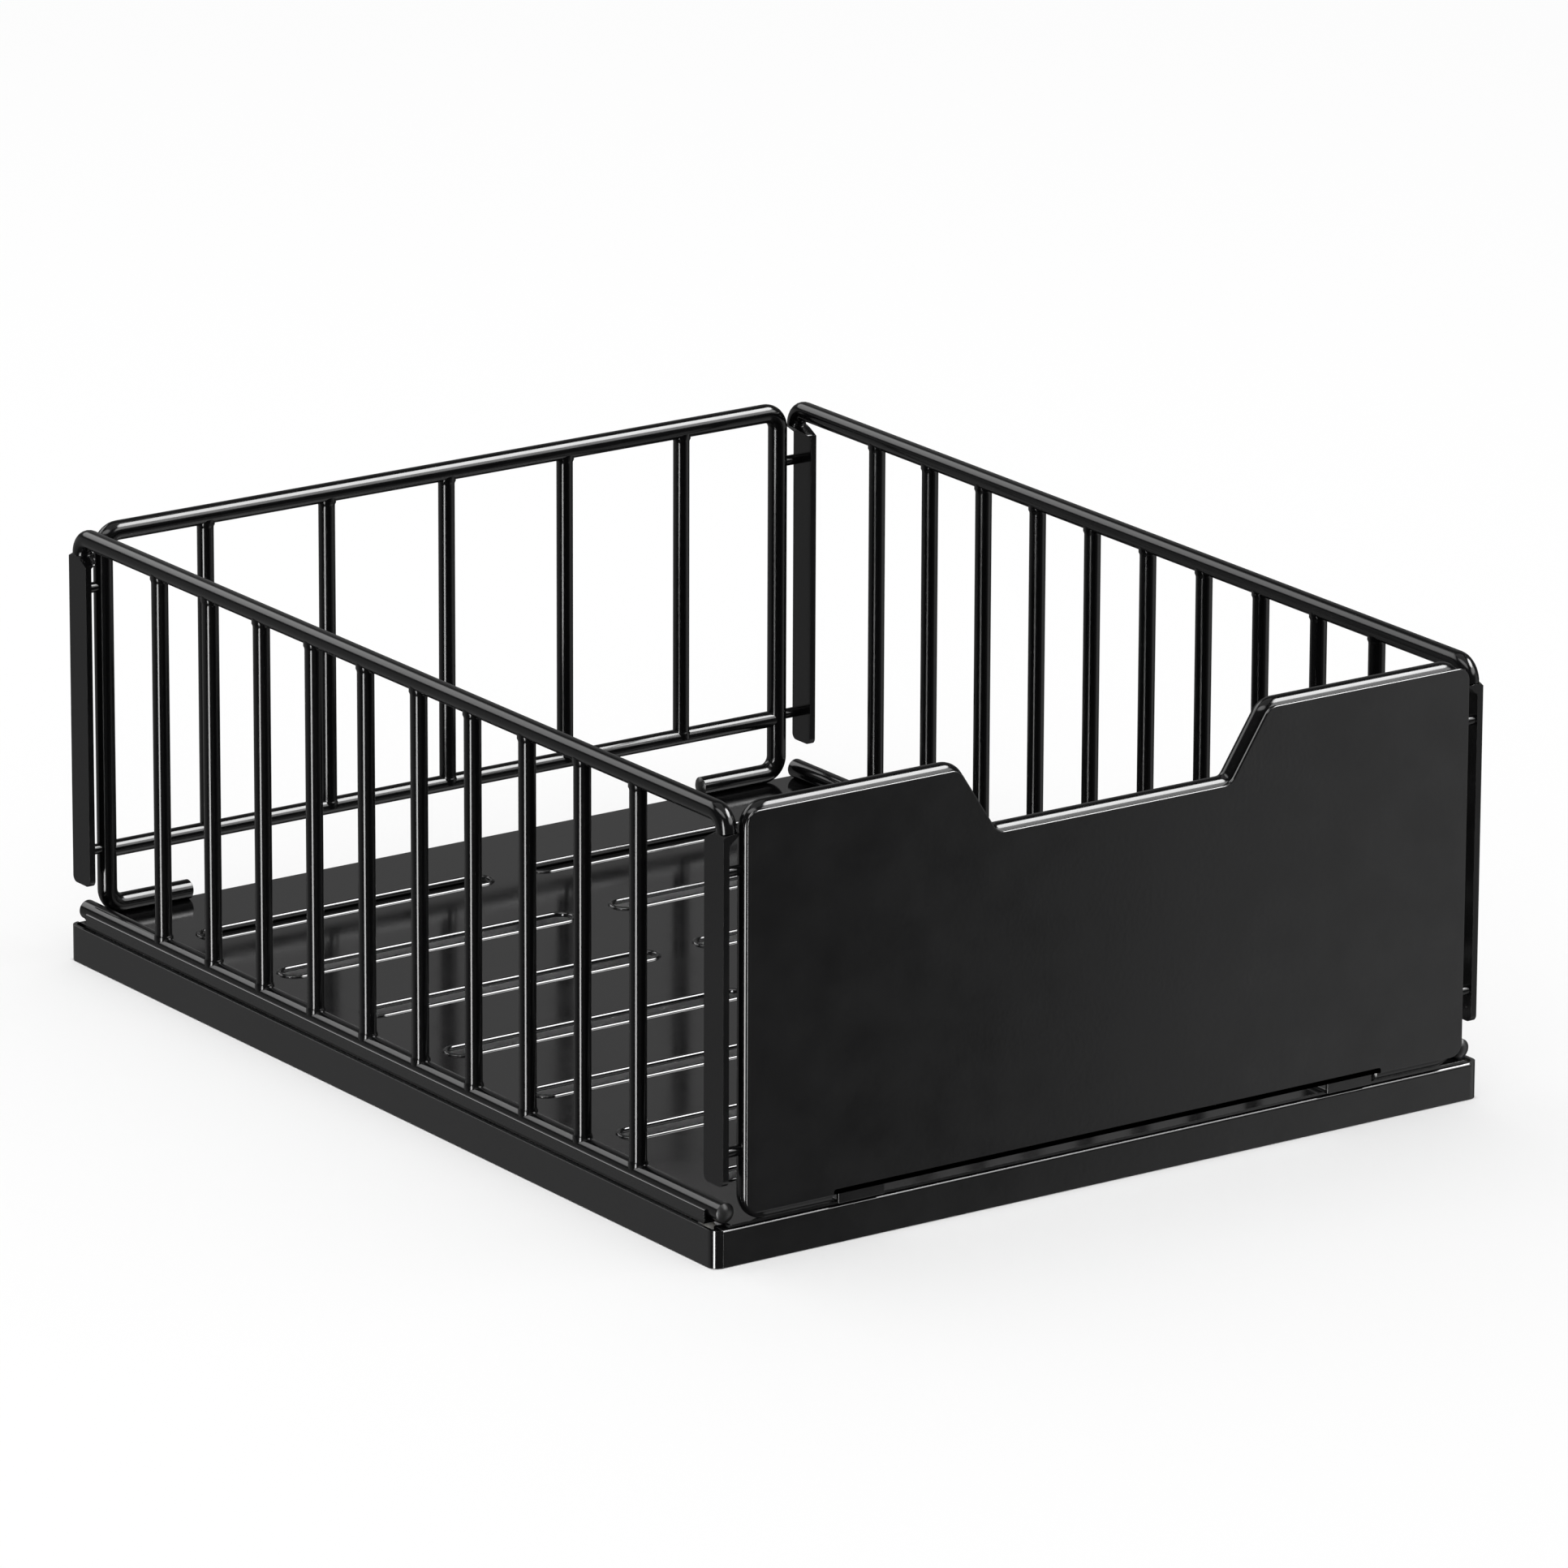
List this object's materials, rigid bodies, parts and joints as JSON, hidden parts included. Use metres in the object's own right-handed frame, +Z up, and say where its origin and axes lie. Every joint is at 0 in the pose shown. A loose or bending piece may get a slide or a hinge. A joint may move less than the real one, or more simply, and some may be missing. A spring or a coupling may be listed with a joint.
{
  "type": "pull out cabinet basket",
  "caption": "Low pull-out basket for a cabinet shelf: a fixed base frame, runner rollers and a tray with barred sides and a solid notched front.",
  "frame": {"origin": "middle of the whole footprint at the cabinet floor", "axes": "+Y from the front panel to the rear, +X to the right when facing +Y, +Z up; the basket slides out along -Y"},
  "size_m": [0.339, 0.435, 0.169],
  "materials": {
    "black_powder_coat": "semi-gloss black powder coat on steel",
    "zinc_steel": "zinc-plated steel",
    "roller_nylon": "natural nylon",
    "stop_rubber": "matt black rubber",
    "plug_plastic": "black plastic"
  },
  "bodies": {
    "base": {"base_left_rail": "black_powder_coat", "base_right_rail": "black_powder_coat", "base_front_rail": "black_powder_coat", "base_rear_rail": "black_powder_coat", "base_rivets": "zinc_steel", "channel_left": "zinc_steel", "channel_right": "zinc_steel", "channel_stops": "stop_rubber", "front_roller_pins": "zinc_steel"},
    "front_roller_left": {"front_roller_left": "roller_nylon"},
    "front_roller_right": {"front_roller_right": "roller_nylon"},
    "rear_roller_left": {"rear_roller_left": "roller_nylon"},
    "rear_roller_right": {"rear_roller_right": "roller_nylon"},
    "basket": {"rear_bracket_left": "zinc_steel", "rear_bracket_right": "zinc_steel", "rear_roller_pins": "zinc_steel", "bracket_rivets": "black_powder_coat", "tray": "black_powder_coat", "bottom_rail_left": "black_powder_coat", "bottom_rail_right": "black_powder_coat", "top_rail_left": "black_powder_coat", "top_rail_right": "black_powder_coat", "side_bars_left": "black_powder_coat", "side_bars_right": "black_powder_coat", "post_front_left": "black_powder_coat", "post_front_right": "black_powder_coat", "post_rear_left": "black_powder_coat", "post_rear_right": "black_powder_coat", "rear_frame": "black_powder_coat", "rear_lower_rail": "black_powder_coat", "rear_bars": "black_powder_coat", "front_leg_left": "black_powder_coat", "front_leg_right": "black_powder_coat", "notch_side_left": "black_powder_coat", "notch_floor_rod": "black_powder_coat", "notch_side_right": "black_powder_coat", "front_panel": "black_powder_coat", "panel_brackets": "black_powder_coat", "corner_pins": "black_powder_coat", "tube_plugs": "plug_plastic"}
  },
  "joints": [
    {"name": "basket_slide", "type": "slide", "parent": "base", "child": "basket", "axis": [0, -1, 0], "range_m": [0, 0.29]},
    {"name": "front_roller_left_spin", "type": "hinge", "parent": "base", "child": "front_roller_left", "pos_m": [-0.1637, -0.20065, 0.0096], "axis": [1, 0, 0], "continuous": true},
    {"name": "rear_roller_left_spin", "type": "hinge", "parent": "basket", "child": "rear_roller_left", "pos_m": [-0.1637, 0.19145, 0.0077], "axis": [1, 0, 0], "continuous": true},
    {"name": "front_roller_right_spin", "type": "hinge", "parent": "base", "child": "front_roller_right", "pos_m": [0.1637, -0.20065, 0.0096], "axis": [1, 0, 0], "continuous": true},
    {"name": "rear_roller_right_spin", "type": "hinge", "parent": "basket", "child": "rear_roller_right", "pos_m": [0.1637, 0.19145, 0.0077], "axis": [1, 0, 0], "continuous": true}
  ],
  "couplings": [
    {"joint": "front_roller_left_spin", "follows": "basket_slide", "rad_per_m": 227.27},
    {"joint": "rear_roller_left_spin", "follows": "basket_slide", "rad_per_m": 227.27},
    {"joint": "front_roller_right_spin", "follows": "basket_slide", "rad_per_m": 227.27},
    {"joint": "rear_roller_right_spin", "follows": "basket_slide", "rad_per_m": 227.27}
  ]
}
